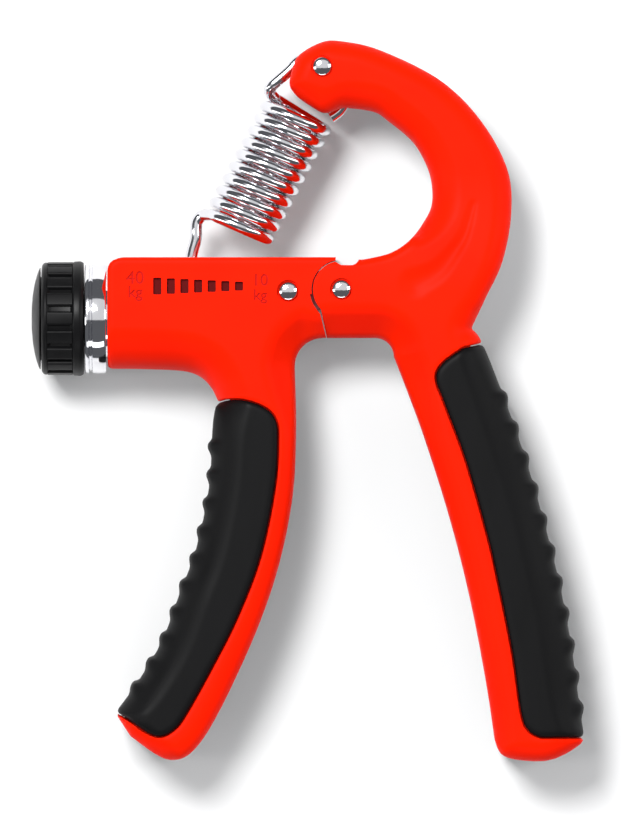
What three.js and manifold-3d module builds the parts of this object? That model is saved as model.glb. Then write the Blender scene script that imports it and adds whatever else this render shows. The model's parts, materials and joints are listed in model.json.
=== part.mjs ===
// Adjustable hand exerciser: a left handle with a barrel, a right handle with a C arm, an extension
// spring between them, and a knob whose screw moves the spring's lower hook along the barrel.
// Millimetres. While the pieces are drawn, X runs from the knob to the C arm, Y runs up the handles,
// Z comes out of the front face, and 0, 0, 0 is the pivot in the middle of the thickness.
import * as THREE from "three";
import { mergeVertices } from "three/addons/utils/BufferGeometryUtils.js";
import Module from "manifold-3d";

const wasm = await Module();
wasm.setup();

// ---- driving dimensions ----
const thickness = 25; // back to front of both handles
const armThickness = 21; // back to front of the C arm
const handleLength = 101; // pivot to the bottom of the handles
const handleRoot = 17; // pivot to the underside of the barrel, where the handles begin
const armHeight = 53.3; // pivot to the top of the C arm
const armReach = 36.5; // pivot to the outside of the C arm
const barrelLength = 50.2; // pivot to the barrel's end face
const barrelTop = 6.9; // pivot to the top of the barrel
const handleEdge = 2.4; // bevel along the handles' edges
const armEdge = 2.4; // bevel along the C arm's edges
const barrelEdge = 1.6; // bevel along the barrel's edges

const seat = 0.3; // gap between pieces that touch
const running = 0.2; // radial gap of a shaft in its hole

const seamRadius = 6.4; // left handle's hollow round the right handle's disc
const archBottom = 10.4; // pivot to the edge of the arch between the handles
const archSlopeLeft = 5.8; // depth where the arch's slope begins on the left handle
const archSlopeRight = 4.4; // the same on the right handle, lower by the thickness of the left skin

const plateThickness = 4;
const plateEye = 4.2; // radius of the hinge plate's ends
const plateRivetX = -11.4;
const plateRivetY = -0.4;
const rivetShank = 1.4;
const rivetHead = 2.05;
const rivetHeadHeight = 0.9;
const rivetRecess = 2.45;
const rivetRecessDepth = 0.8;
const washerRadius = 3.4;
const washerThickness = 0.6;

const springTopX = -4.1; // rivet that holds the spring's upper loop
const springTopShare = 47.8 / 53.3; // its height as a share of the C arm's height
const wire = 2.1; // spring wire
const coilRadius = 7.4; // outside of the coil
const coilStart = 12.4; // from the lower pin to the first coil, along the spring's axis
const loopSwingBack = 10; // degrees that the loop turns in the C arm's tip, each way from rest
const loopSwingOn = 16;
const pinX = -28.7; // lower pin at rest, between the 10 kg and the 40 kg ends
const pinY = 1;
const pinRadius = 1.3;
const travelOut = 11.1; // carriage travel from rest towards the knob
const travelIn = 6.5; // carriage travel from rest towards the pivot

const screwY = -6.2; // axis of the knob and its screw
const screwRadius = 2;
const journalRadius = 1.4;
const journalLength = 2.6;
const nutRadius = 3.5; // across the corners
const nutLength = 7;
const carriageLength = 7.6;
const carriageDepth = 10.4; // back to front
const carriageTop = 4.2;
const carriageBottom = -11.6;
const slotWidth = 4.2; // slots that the wire moves in

const collarRadius = 11.9;
const collarLength = 4.6;
const collarSpigot = 8.4;
const collarSpigotLength = 2.4;
const collarWall = 2.6; // wall that carries the screw
const collarGroove = 0.5;
const knobRadius = 12.15;
const knobLength = 8.4;
const knobFlange = 2; // smooth ring next to the collar
const knobLugs = 18;
const lugDepth = 0.7;
const knobGap = 0.5; // between collar and knob
const capRadius = 10.9;
const capDome = 2.1;
const capSkirt = 9;
const capSkirtDepth = 1.2;
const driveRadius = 2.6; // hexagon at the screw's outer end, across the corners
const driveLength = 4.2;
const knobScrewRadius = 1.1;
const knobScrewHead = 3.4;
const knobScrewLength = 6;
const bushRadius = 2.7;
const bushLength = 2.6;

const gripWall = 2.7; // thickness of the rubber grips
const leftRibs = 10;
const rightRibs = 11;
const ribHeight = 0.8;

const scaleBars = 7;
const scalePitch = 2.9;
const scaleBarWidth = 1.7;
const scaleBarDepth = 0.5;
const scaleTall = 3.6; // bar at the 40 kg end
const scaleShort = 1.9; // bar at the 10 kg end
const scaleY = 0.8;

// ---- sizes worked out from the driving dimensions ----
const half = thickness / 2;
const reach = half + 2; // depth of cuts that go right through
const flankEdge = [-3.4, -archBottom]; // where the seam between the handles ends at the arch
const springTopY = armHeight * springTopShare;
const handleY = (share) => -handleRoot - share * (handleLength - handleRoot);
const springSpan = Math.hypot(springTopX - pinX, springTopY - pinY);
const springAngle = Math.atan2(springTopY - pinY, springTopX - pinX);
const coilEndGap = (coilRadius - wire / 2) * 1.62 - 1.187; // last coil to the upper rivet, clear of the loop
const coilLength = springSpan - coilStart - coilEndGap;
const screwInnerEnd = pinX + travelIn + carriageLength / 2 + seat; // inner end of the carriage's space

// ---- shapes ----
const v = (x, y) => new THREE.Vector2(x, y);
const spline = (points, steps = 24) => new THREE.SplineCurve(points.map(([x, y]) => v(x, y))).getPoints(steps);
const lines = (points) => points.map(([x, y]) => v(x, y));

function arc(cx, cy, radius, from, to, steps = 12) {
  return Array.from({ length: steps + 1 }, (_, i) => {
    const a = THREE.MathUtils.degToRad(from + ((to - from) * i) / steps);
    return v(cx + radius * Math.cos(a), cy + radius * Math.sin(a));
  });
}

function closed(...stretches) {
  return new THREE.Shape(stretches.flat());
}

// A geometry as a solid that can be joined and cut.
function solid(geometry) {
  const bare = geometry.clone();
  bare.deleteAttribute("normal");
  bare.deleteAttribute("uv");
  const merged = mergeVertices(bare, 1e-4);
  return new wasm.Manifold(
    new wasm.Mesh({
      numProp: 3,
      vertProperties: new Float32Array(merged.attributes.position.array),
      triVerts: new Uint32Array(merged.index.array),
    }),
  );
}

// A flat shape given a depth from z0 to z1, with an optional bevel inside its outline.
function slab(shape, z0, z1, edge = 0, segments = 2) {
  const geometry = new THREE.ExtrudeGeometry(shape, {
    depth: z1 - z0 - 2 * edge,
    bevelEnabled: edge > 0,
    bevelThickness: edge,
    bevelSize: edge,
    bevelOffset: -edge,
    bevelSegments: segments,
    steps: 1,
  });
  return solid(geometry.translate(0, 0, z0 + edge));
}

function block(x0, x1, y0, y1, z0, z1) {
  const geometry = new THREE.BoxGeometry(x1 - x0, y1 - y0, z1 - z0);
  return solid(geometry.translate((x0 + x1) / 2, (y0 + y1) / 2, (z0 + z1) / 2));
}

// A turned piece on the z axis through x, y. The profile lists [radius, z].
function turned(profile, x = 0, y = 0, sides = 32) {
  const geometry = new THREE.LatheGeometry(lines(profile), sides);
  return solid(geometry.rotateX(Math.PI / 2).translate(x, y, 0));
}

function pin(radius, z0, z1, x, y, sides = 24) {
  return turned([[0, z0], [radius, z0], [radius, z1], [0, z1]], x, y, sides);
}

// A turned piece on the screw's axis. The profile lists [radius, x].
function onScrew(profile, sides = 32) {
  const geometry = new THREE.LatheGeometry(lines(profile), sides);
  return solid(geometry.rotateZ(-Math.PI / 2).translate(0, screwY, 0));
}

function rod(radius, x0, x1, sides = 24) {
  return onScrew([[0, x0], [radius, x0], [radius, x1], [0, x1]], sides);
}

function ring(inner, outer, x0, x1, sides = 32) {
  return onScrew([[inner, x0], [outer, x0], [outer, x1], [inner, x1], [inner, x0]], sides);
}

const assembly = new THREE.Group();

function place(name, body, colour, roughness, metalness) {
  const { vertProperties, triVerts, numProp } = body.getMesh();
  const geometry = new THREE.BufferGeometry();
  const count = vertProperties.length / numProp;
  const position = new Float32Array(count * 3);
  for (let i = 0; i < count; i++) {
    position.set(vertProperties.subarray(i * numProp, i * numProp + 3), i * 3);
  }
  geometry.setAttribute("position", new THREE.BufferAttribute(position, 3));
  geometry.setIndex(new THREE.BufferAttribute(triVerts, 1));
  geometry.computeVertexNormals();
  const mesh = new THREE.Mesh(geometry, new THREE.MeshStandardMaterial({ color: colour, roughness, metalness }));
  mesh.name = name;
  assembly.add(mesh);
}

const plastic = [0xf5280b, 0.35, 0];
const rubber = [0x1c1c1c, 0.6, 0];
const blackPlastic = [0x161616, 0.4, 0];
const chrome = [0xd4d6d8, 0.12, 1];
const steel = [0xa8aaac, 0.35, 1];
const brass = [0xc9a54a, 0.3, 1];

// ---- rivets ----
// A rivet hole with a round recess for the head at the front and one for the washer at the back.
function rivetHole(x, y, face) {
  return pin(rivetShank + running, -face - 1, face + 1, x, y)
    .add(pin(rivetRecess, face - rivetRecessDepth, face + 1, x, y))
    .add(pin(washerRadius + seat, -face - 1, -face + rivetRecessDepth + washerThickness, x, y));
}

function placeRivet(name, x, y, face) {
  const seatZ = face - rivetRecessDepth + seat / 3;
  const back = -face + rivetRecessDepth;
  const head = [[0, seatZ], [rivetHead, seatZ]];
  for (let i = 1; i < 5; i++) {
    const a = (i * Math.PI) / 10;
    head.push([rivetHead * Math.cos(a), seatZ + 0.2 + (rivetHeadHeight - 0.2) * Math.sin(a)]);
  }
  head.push([0, seatZ + rivetHeadHeight]);
  const flattened = [[0, back - 0.7], [rivetHead * 0.8, back - 0.7], [rivetHead, back - seat], [0, back - seat]];
  const rivet = turned(head, x, y, 24)
    .add(pin(rivetShank, back - seat - 0.1, seatZ + 0.1, x, y))
    .add(turned(flattened, x, y, 24));
  place(name, rivet, ...chrome);
  const z0 = back;
  const z1 = back + washerThickness - seat / 2;
  const inner = rivetShank + running;
  const washer = turned([[inner, z0], [washerRadius, z0], [washerRadius, z1], [inner, z1], [inner, z0]], x, y);
  place(name + "_washer", washer, ...steel);
}

// ---- handle outlines ----
const leftInner = spline([
  [-10, handleY(0)],
  [-9.7, handleY(0.16)],
  [-10.6, handleY(0.34)],
  [-14.3, handleY(0.54)],
  [-20.9, handleY(0.745)],
  [-29.9, handleY(0.95)],
  [-36.8, handleY(1)],
  [-45.2, handleY(0.94)],
]);
const leftOuter = spline([
  [-48.6, handleY(0.88)],
  [-43.7, handleY(0.8)],
  [-38.5, handleY(0.695)],
  [-34.6, handleY(0.57)],
  [-31.2, handleY(0.46)],
  [-28.4, handleY(0.3)],
  [-27.8, handleY(0.11)],
  [-26.9, handleY(0.055)],
]);
const rightInner = spline([
  [33, handleY(0.95)],
  [31.1, handleY(0.8)],
  [27.7, handleY(0.59)],
  [23.4, handleY(0.387)],
  [18, handleY(0.182)],
  [13.3, handleY(0.03)],
]);
const rightOuter = spline([
  [30.3, -11.5],
  [35.4, handleY(0.088)],
  [39.7, handleY(0.235)],
  [43.4, handleY(0.385)],
  [46.6, handleY(0.535)],
  [49.2, handleY(0.694)],
  [51.1, handleY(0.856)],
  [52, handleY(0.93)],
]);

function seamDepth(radius) {
  return half - 1.38 * (radius - seamRadius - 0.2);
}

// The space that the right handle's flank sweeps inside the left handle.
function sweptSpace() {
  const outer = archBottom + 1;
  const mouth = seamRadius + 0.35;
  const profile = [
    [0, -half - 1], [mouth, -half - 1], [mouth, -seamDepth(mouth) - seat], [outer, -seamDepth(outer) - seat],
    [outer, seamDepth(outer) + seat], [mouth, seamDepth(mouth) + seat], [mouth, half + 1], [0, half + 1],
  ];
  return turned(profile, 0, 0, 64).intersect(block(-outer - 1, outer, -outer - 1, -1, -half - 2, half + 2));
}

// Slopes cut along the arch at front and back, from the face down to the arch's edge.
function archSlopes(start, x0, x1) {
  const depth = archBottom + 1 - start;
  const slope = closed(lines([[0, 0], [depth, -depth], [depth + 6, -depth], [depth + 6, 6], [0, 6]]));
  const front = new THREE.ExtrudeGeometry(slope, { depth: x1 - x0, bevelEnabled: false });
  front.applyMatrix4(
    new THREE.Matrix4().makeBasis(
      new THREE.Vector3(0, -1, 0), new THREE.Vector3(0, 0, 1), new THREE.Vector3(-1, 0, 0),
    ),
  );
  const cut = solid(front.translate(x1, -start, half));
  return cut.add(cut.mirror([0, 0, 1]));
}

// ---- grips ----
const leftGripTop = handleY(0.09);
function leftGripRegion(margin) {
  const inner = spline([
    [-16.4 + margin, handleY(0.105) + margin],
    [-13.9 + margin, handleY(0.16)],
    [-14.5 + margin, handleY(0.285)],
    [-17.5 + margin, handleY(0.49)],
    [-23.9 + margin, handleY(0.694)],
    [-33.6 + margin, handleY(0.9)],
    [-39.8, handleY(0.943) - margin],
    [-45.5, handleY(0.92) - margin],
  ]);
  return closed(
    inner,
    lines([[-60, handleY(0.88) - margin - 3], [-60, leftGripTop + margin], [-24, leftGripTop + margin]]),
  );
}
function rightGripRegion(margin) {
  const inner = spline([
    [42.8, handleY(0.9417) - margin],
    [40.2 - margin, handleY(0.925) - margin],
    [38.6 - margin, handleY(0.88)],
    [36.7 - margin, handleY(0.726)],
    [33.4 - margin, handleY(0.532)],
    [31.3 - margin, handleY(0.425)],
    [26.8 - margin, handleY(0.238)],
    [22.3 - margin, handleY(0.094)],
    [20.3 - margin, handleY(0.026)],
    [21.7 - margin, -15.9 + margin],
    [26.2, -12.6 + margin],
  ], 32);
  return closed(inner, lines([[30.4, -11.7 + margin], [60, -11.7 + margin], [60, handleY(0.9417) - margin]]));
}

// The rubber part of a whole handle, and what is left for the plastic part.
function splitGrip(whole, shape, region, wallX) {
  const rubberCore = slab(shape, -half + gripWall, half - gripWall).translate([wallX, 0, 0]);
  const plasticCore = slab(shape, -half + gripWall + seat, half - gripWall - seat);
  const shift = wallX + Math.sign(wallX) * seat;
  const grip = whole.intersect(slab(region(0), -reach, reach)).subtract(rubberCore);
  const room = slab(region(seat), -reach, reach).subtract(plasticCore.translate([shift, 0, 0]));
  return [grip, whole.subtract(room)];
}

// Low wedges across a grip's outer side.
function ribs(edge, count, from, to, side) {
  const curve = new THREE.SplineCurve(edge);
  let all = null;
  for (let i = 0; i < count; i++) {
    const at = curve.getPointAt(from + ((to - from) * i) / (count - 1));
    const rib = slab(
      closed(lines([[-1, 1.6], [ribHeight, 0], [-1, -1.6]].map(([x, y]) => [x * side, y * side]))),
      -half + handleEdge, half - handleEdge,
    ).translate([at.x, at.y, 0]);
    all = all ? all.add(rib) : rib;
  }
  return all;
}

// ---- left handle ----
const leftShape = closed(
  arc(-barrelLength + 3, barrelTop - 3, 3, 180, 90, 4),
  lines([[4, barrelTop], [4, -archBottom]]),
  arc(-4, -archBottom - 6, 6, 90, 180, 8),
  leftInner,
  leftOuter,
  arc(-33.9, handleY(0.055), 4, 60, 90, 4),
  lines([[-barrelLength + 1.6, -handleRoot], [-barrelLength, -handleRoot + 1.6]]),
);
// What the left handle leaves free for the right handle's disc and flank.
const seamShape = closed(
  lines([[8, -20], [8, 10], [-1.2, 10]]),
  arc(0, 0, seamRadius, 101, 222, 24),
  lines([flankEdge, [flankEdge[0] + 0.4, -20]]),
);
const leftWhole = slab(leftShape, -half, half, barrelEdge)
  .subtract(archSlopes(archSlopeLeft, -9, seamRadius))
  .subtract(slab(seamShape, -reach, reach));
const [leftGrip, leftPlastic] = splitGrip(leftWhole, leftShape, leftGripRegion, gripWall);
place("left_grip", leftGrip.add(ribs(leftOuter, leftRibs, 0.08, 0.84, -1)), ...rubber);

const carriageHalf = carriageLength / 2 + seat;
const space = block(
  -barrelLength - 1, screwInnerEnd,
  carriageBottom - seat, carriageTop + seat,
  -carriageDepth / 2 - seat, carriageDepth / 2 + seat,
);
const topSlot = block(
  pinX - travelOut - 5.6, pinX + travelIn + 3.6,
  0, barrelTop + 1, -slotWidth / 2, slotWidth / 2,
);
function plateShape(margin) {
  const tilt = THREE.MathUtils.radToDeg(Math.atan2(plateRivetY, plateRivetX));
  return closed(
    arc(0, 0, plateEye + margin, tilt + 90, tilt + 270, 12),
    arc(plateRivetX, plateRivetY, plateEye + margin, tilt - 90, tilt + 90, 12),
  );
}
const plateRoom = slab(plateShape(seat), -plateThickness / 2 - seat, plateThickness / 2 + seat);
let leftHandle = leftPlastic
  .subtract(sweptSpace())
  .subtract(space)
  .subtract(topSlot)
  .subtract(plateRoom)
  .subtract(rivetHole(plateRivetX, plateRivetY, half))
  .subtract(rod(bushRadius + seat, screwInnerEnd - 1, screwInnerEnd + bushLength + seat))
  .subtract(rod(collarSpigot + seat, -barrelLength - 1, -barrelLength + collarSpigotLength + seat, 48));
for (let i = 0; i < scaleBars; i++) {
  const x = pinX + travelIn - 0.2 - i * scalePitch;
  const tall = scaleShort + ((scaleTall - scaleShort) * i) / (scaleBars - 1);
  leftHandle = leftHandle.subtract(
    block(x - scaleBarWidth / 2, x + scaleBarWidth / 2, scaleY - tall / 2, scaleY + tall / 2,
      half - scaleBarDepth, half + 1),
  );
}
place("left_handle", leftHandle, ...plastic);

// ---- hinge plate and its rivets ----
const plate = slab(plateShape(0), -plateThickness / 2, plateThickness / 2)
  .subtract(pin(rivetShank + running, -half, half, 0, 0))
  .subtract(pin(rivetShank + running, -half, half, plateRivetX, plateRivetY));
place("hinge_plate", plate, ...steel);
placeRivet("plate_rivet", plateRivetX, plateRivetY, half);
placeRivet("pivot_rivet", 0, 0, half);

// ---- right handle with its C arm ----
const flankBottom = [flankEdge[0] + seat, flankEdge[1]];
const rightShape = closed(
  lines([[-8, -archBottom], [-8, 5.8], [24, 6], [28.4, -4], [28, -11]]),
  rightOuter,
  spline([[51.3, handleY(0.96)], [45, handleY(1)], [38, handleY(1)], [34.3, handleY(0.985)]], 8),
  rightInner,
  arc(7.3, -archBottom - 4, 4, 0, 90, 6),
);
// What the right handle leaves free for the left one: the seam with its gap, and the notch above it.
const hubSide = closed(
  lines([[-12, 12], [-12, -16], [flankBottom[0] + 0.5, -16], flankBottom]),
  arc(0, 0, seamRadius - seat, 224, 112, 24),
  lines([[0.5, 4.5], [4, 5.8], [4, 12]]),
);
const armScaleX = armReach / 36.5;
const armScaleY = armHeight / 53.3;
const scaled = (points) => points.map(([x, y]) => [x > 0 ? x * armScaleX : x, y > 0 ? y * armScaleY : y]);
const armShape = closed(
  spline(scaled([
    [27.9, -8.4], [31.1, -1.6], [34.6, 6], [36.5, 16.3], [35.6, 26], [29.8, 36.5], [21, 45.1], [8.3, 51.4],
    [0.2, 53.3], [-4.3, 53.1], [-9.4, 50], [-11, 45.5],
  ]), 36),
  spline(scaled([[-10.6, 42], [-6.7, 39.2], [-2.6, 37.7], [1.5, 38.8], [9.8, 36.5], [16, 31.2], [19.4, 24],
    [19, 17], [14.8, 10.7], [9, 7.2], [4.7, 5.4]]), 30),
  lines([[6, -3], [16, -8]]),
);
const rightHandleSlab = slab(rightShape, -half, half, barrelEdge)
  .subtract(archSlopes(archSlopeRight, -6, 10))
  .subtract(slab(hubSide, -reach, reach));
const [rightGrip, rightPlastic] = splitGrip(rightHandleSlab, rightShape, rightGripRegion, -gripWall);
place("right_grip", rightGrip.add(ribs(rightOuter, rightRibs, 0.13, 0.93, 1)), ...rubber);

const forkHalf = plateThickness / 2 + seat;
const forkDepth = 1.8; // how far the fork's space runs below the hub, clear of the plate when squeezed
const forkSide = plateEye * 0.6; // how far it runs past the pivot
const hingeFork = pin(plateEye + 0.6, -forkHalf, forkHalf, 0, 0)
  .add(block(-seamRadius - 2, forkSide, -seamRadius - forkDepth, plateEye + 0.6, -forkHalf, forkHalf));
// Slot in the tip for the spring's loop, as wide as the loop's swing needs.
function tipSlot() {
  const room = coilRadius + seat + 0.1;
  const back = coilRadius - wire / 2 - (rivetShank + running + wire / 2);
  let slot = null;
  for (const swing of [-loopSwingBack, 0, loopSwingOn]) {
    const turn = springAngle + THREE.MathUtils.degToRad(swing);
    const disc = slab(closed(arc(0, 0, room, 0, 350, 35)), -slotWidth / 2, slotWidth / 2).translate([-back, 0, 0]);
    const way = block(-back - 12, -back, -room, room, -slotWidth / 2, slotWidth / 2);
    const one = disc.add(way).rotate([0, 0, THREE.MathUtils.radToDeg(turn)]);
    slot = slot ? slot.add(one) : one;
  }
  return slot.translate([springTopX, springTopY, 0]);
}
const armFace = armThickness / 2;
const rightHandle = rightPlastic
  .add(slab(armShape, -armFace, armFace, armEdge, 3))
  .subtract(hingeFork)
  .subtract(rivetHole(0, 0, half))
  .subtract(tipSlot())
  .subtract(rivetHole(springTopX, springTopY, armFace));
place("right_handle", rightHandle, ...plastic);
placeRivet("spring_rivet", springTopX, springTopY, armFace);

// ---- collar, knob and screw ----
const collarOuter = -barrelLength - seat - collarLength;
const collarInner = -barrelLength + collarSpigotLength;
const wallInner = collarOuter + collarWall;
const clipX = wallInner + 1.3;
const collar = onScrew([
  [screwRadius + running, collarOuter],
  [collarRadius - 0.3, collarOuter],
  [collarRadius, collarOuter + 0.3],
  [collarRadius, collarOuter + 0.9],
  [collarRadius - collarGroove, collarOuter + 1.1],
  [collarRadius - collarGroove, collarOuter + 1.5],
  [collarRadius, collarOuter + 1.7],
  [collarRadius, -barrelLength - seat],
  [collarSpigot, -barrelLength - seat],
  [collarSpigot, collarInner],
  [collarSpigot - 2, collarInner],
  [collarSpigot - 2, wallInner],
  [screwRadius + running, wallInner],
  [screwRadius + running, collarOuter],
], 48);
place("collar", collar, ...chrome);

const knobInner = collarOuter - knobGap;
const knobOuter = knobInner - knobLength;
const screwOuter = knobInner - knobGap - driveLength;
place("lead_screw", rod(journalRadius, screwInnerEnd - seat - 0.1, screwInnerEnd + journalLength)
  .add(rod(screwRadius, knobInner - knobGap, screwInnerEnd - seat))
  .add(rod(driveRadius, screwOuter, knobInner - knobGap + 0.01, 6))
  .subtract(ring(screwRadius - 0.4, screwRadius + 1, clipX - 0.1, clipX + 0.8))
  .subtract(rod(knobScrewRadius + running, screwOuter - 1, screwOuter + knobScrewLength + seat)), ...steel);
place("inner_thrust_washer", ring(screwRadius + running, 5, wallInner + seat, wallInner + 1), ...steel);
const clipGap = block(clipX - 1, clipX + 2, screwY, screwY + 6, -1.2, 1.2);
place("retaining_clip", ring(screwRadius - 0.2, 4, clipX, clipX + 0.7, 24).subtract(clipGap), ...steel);
const outerWasher = ring(driveRadius + seat, 6, knobInner, collarOuter - 0.15);
place("outer_thrust_washer", outerWasher, ...blackPlastic);

const lugStart = knobInner - knobFlange;
let knob = onScrew([
  [driveRadius + 0.2, knobInner - 0.15],
  [driveRadius + 0.2, screwOuter - 0.4],
  [capSkirt + seat, screwOuter - 0.4],
  [capSkirt + seat, knobOuter],
  [capRadius + 0.4, knobOuter],
  [knobRadius - 0.5, knobOuter + 1.2],
  [knobRadius, knobOuter + 2.2],
  [knobRadius, lugStart - 0.2],
  [knobRadius + 0.1, lugStart],
  [knobRadius + 0.1, knobInner - 0.6],
  [knobRadius - 0.4, knobInner - 0.15],
  [driveRadius + 0.2, knobInner - 0.15],
], 72);
for (let i = 0; i < knobLugs; i++) {
  const groove = solid(new THREE.CylinderGeometry(1.3, 1.3, lugStart - knobOuter - 2.6, 8)
    .rotateZ(Math.PI / 2)
    .translate((lugStart + knobOuter + 2) / 2, knobRadius + 1.3 - lugDepth, 0));
  knob = knob.subtract(groove.rotate([(i * 360) / knobLugs, 0, 0]).translate([0, screwY, 0]));
}
place("knob", knob, ...blackPlastic);
place("knob_screw_washer", ring(knobScrewRadius + running, 4.2, screwOuter - 1.1, screwOuter - 0.5), ...steel);
const headX = screwOuter - 1.1 - seat / 2;
place("knob_screw", rod(knobScrewRadius, headX - 0.1, screwOuter + knobScrewLength)
  .add(onScrew([[0, headX - 1.2], [knobScrewHead - 0.5, headX - 1], [knobScrewHead, headX], [0, headX]], 24)), ...steel);
const cap = onScrew([
  [0, knobOuter - capDome],
  [capRadius * 0.45, knobOuter - capDome + 0.25],
  [capRadius * 0.8, knobOuter - capDome + 0.85],
  [capRadius, knobOuter - seat - 0.2],
  [capRadius, knobOuter - seat],
  [capSkirt, knobOuter - seat],
  [capSkirt, knobOuter + capSkirtDepth],
  [capSkirt - 1.2, knobOuter + capSkirtDepth],
  [capSkirt - 1.2, knobOuter - seat],
  [0, knobOuter - seat],
], 48);
place("knob_cap", cap, ...blackPlastic);

const bush = ring(journalRadius + running, bushRadius, screwInnerEnd + 0.1, screwInnerEnd + bushLength);
place("screw_bush", bush, ...brass);

// ---- carriage ----
const nut = rod(nutRadius, pinX - nutLength / 2, pinX + nutLength / 2, 6)
  .subtract(rod(screwRadius + running, pinX - nutLength, pinX + nutLength));
place("carriage_nut", nut, ...brass);
const pinReach = carriageDepth / 2 - seat;
const slotFloor = pinY - pinRadius - wire - seat;
const carriage = block(
  pinX - carriageHalf + seat, pinX + carriageHalf - seat,
  carriageBottom, carriageTop,
  -carriageDepth / 2, carriageDepth / 2,
)
  .subtract(rod(nutRadius + seat, pinX - carriageLength, pinX + carriageLength, 6))
  .subtract(block(pinX - carriageLength, pinX + carriageLength, slotFloor, carriageTop + 1, -wire / 2 - seat,
    wire / 2 + seat))
  .subtract(pin(pinRadius + running, -half, half, pinX, pinY));
place("carriage", carriage, ...blackPlastic);
place("spring_pin", pin(pinRadius, -pinReach, pinReach, pinX, pinY), ...steel);

// ---- spring: hook, coil and loop, drawn along its own axis with the lower pin at the origin ----
const hookRadius = pinRadius + seat / 2 + wire / 2;
const meanRadius = coilRadius - wire / 2;
const spring = new THREE.Group();
spring.position.set(pinX, pinY, 0);
spring.rotation.z = springAngle;

// Wire of a round section along points [along, across, z] of the spring's axis.
function wireSolid(points, steps) {
  const path = new THREE.CatmullRomCurve3(points.map(([x, y, z]) => new THREE.Vector3(x, y, z)));
  const section = new THREE.Shape(arc(0, 0, wire / 2, 0, 345, 7));
  return solid(new THREE.ExtrudeGeometry(section, { steps, extrudePath: path, bevelEnabled: false }));
}

function eye(centre, radius, from, to, steps) {
  return arc(centre, 0, radius, from, to, steps).map((p) => [p.x, p.y, 0]);
}

function addToSpring(name, body) {
  place(name, body, ...chrome);
  spring.add(assembly.children[assembly.children.length - 1]);
}

addToSpring("spring_hook", wireSolid([
  [11.3, 8.2, 0],
  [9.6, 8.3, 0],
  [5.5, 7.1, 0],
  [2.4, 5, 0],
  ...eye(0, hookRadius, 118, 338, 10),
], 40));
function coilTube(start, end) {
  const bore = coilRadius - wire;
  const profile = lines([[bore, start], [coilRadius, start], [coilRadius, end], [bore, end], [bore, start]]);
  return solid(new THREE.LatheGeometry(profile, 32).rotateZ(-Math.PI / 2));
}
const coilMiddle = coilStart + coilLength / 2;
addToSpring("spring_coil_lower", coilTube(coilStart, coilMiddle - seat / 2));
addToSpring("spring_coil_upper", coilTube(coilMiddle + seat / 2, coilStart + coilLength));
const loopCentre = springSpan - (meanRadius - rivetShank - running - wire / 2);
addToSpring("spring_loop", wireSolid(eye(loopCentre, meanRadius, 125, -125, 16), 36));
assembly.add(spring);

// ---- the part's frame: resting on its back, centred over its box ----
assembly.updateMatrixWorld(true);
const box = new THREE.Box3().setFromObject(assembly, true);
const centre = box.getCenter(new THREE.Vector3());
assembly.position.set(-centre.x, -centre.y, -box.min.z);

const root = new THREE.Group();
root.add(assembly);
export default root;
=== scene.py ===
"""Looks of an adjustable hand gripper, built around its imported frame.

Sizes in the classes are millimetres from the hinge's centre: x runs from the knob to the C arm, y up the
handles and z out of the front face. Every mesh is placed in the frame's metres when it is made.
"""
import json
import logging
import math
from dataclasses import dataclass
from enum import Enum

import bmesh
import bpy
import numpy as np
from mathutils import Matrix, Vector


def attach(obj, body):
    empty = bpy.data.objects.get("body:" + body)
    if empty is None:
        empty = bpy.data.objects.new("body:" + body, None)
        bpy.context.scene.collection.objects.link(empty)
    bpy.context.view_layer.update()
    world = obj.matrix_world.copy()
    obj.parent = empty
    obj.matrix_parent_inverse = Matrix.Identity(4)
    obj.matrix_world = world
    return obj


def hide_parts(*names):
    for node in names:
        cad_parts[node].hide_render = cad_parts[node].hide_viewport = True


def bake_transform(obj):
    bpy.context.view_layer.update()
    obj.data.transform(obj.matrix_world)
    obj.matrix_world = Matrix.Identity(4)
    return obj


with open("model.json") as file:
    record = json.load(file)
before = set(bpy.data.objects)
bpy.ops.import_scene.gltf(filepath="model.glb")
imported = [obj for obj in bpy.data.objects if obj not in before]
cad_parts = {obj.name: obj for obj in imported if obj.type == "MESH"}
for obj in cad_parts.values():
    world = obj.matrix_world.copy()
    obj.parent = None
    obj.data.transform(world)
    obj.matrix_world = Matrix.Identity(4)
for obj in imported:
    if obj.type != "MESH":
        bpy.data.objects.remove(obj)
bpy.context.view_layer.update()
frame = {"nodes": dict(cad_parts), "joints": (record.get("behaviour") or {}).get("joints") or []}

MM = 0.001
LOG = logging.getLogger("gripper")
Pair = tuple[float, float]
Points = list[Pair]
HINGE = Vector(next(j for j in frame["joints"] if j["name"] == "squeeze")["pos_m"])
# Places that more than one sub-assembly is built on: the spring's two ends, the screw's axis and the arch's crown.
PIN = (-28.7, 1.0)
SPRING_RIVET = (-4.1, 47.8)
SPRING_ANGLE = math.atan2(SPRING_RIVET[1] - PIN[1], SPRING_RIVET[0] - PIN[0])
SCREW_Y = -6.2
ARCH_Y = -10.4


# ---------------------------------------------------------------------------------------------- curves
def to_frame(points: np.ndarray) -> np.ndarray:
    """Turns millimetres from the hinge into the frame's metres.

    Args:
        points: An array of rows x, y, z.

    Returns:
        The same rows in metres.
    """
    return np.asarray(points, dtype=float) * MM + np.array(HINGE)


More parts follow.
